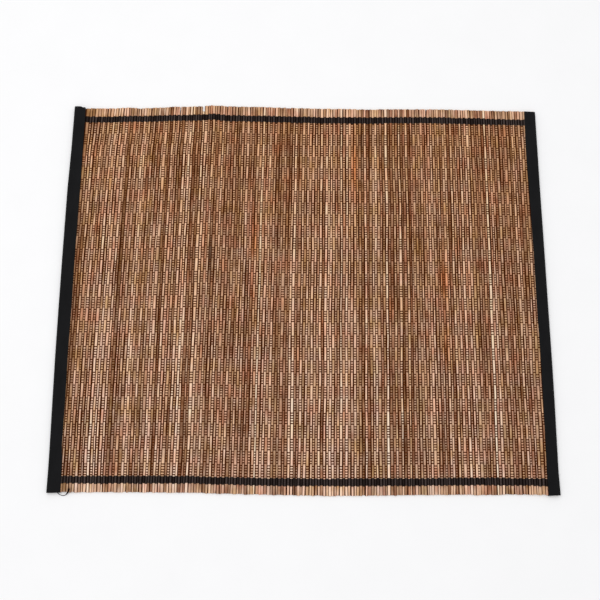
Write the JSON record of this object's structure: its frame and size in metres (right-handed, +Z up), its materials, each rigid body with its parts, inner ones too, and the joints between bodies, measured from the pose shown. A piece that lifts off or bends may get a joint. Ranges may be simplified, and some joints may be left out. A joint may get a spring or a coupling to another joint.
{
  "type": "bamboo table mat",
  "caption": "Flat woven table mat of thin split slats with brown weft thread, black thread bands near the slat ends and a folded black tape on each side.",
  "frame": {"origin": "middle of the mat's outline, on the surface that it lies on", "axes": "+X along the long side towards the right tape, +Y along the slats to the back edge, +Z up"},
  "size_m": [0.4518, 0.3732, 0.0036],
  "materials": {
    "split_bamboo": "dry split bamboo, tan to brown, satin, each slat its own tone",
    "brown_thread": "dark brown cotton weaving thread of the woven field, matte",
    "black_thread": "black cotton thread, packed tight, slight sheen",
    "black_tape": "plain black cotton tape, matte"
  },
  "bodies": {
    "root": {"woven_field": "split_bamboo", "black_band_back": "black_thread", "black_band_front": "black_thread", "binding_left": "black_tape", "binding_right": "black_tape"}
  },
  "joints": []
}
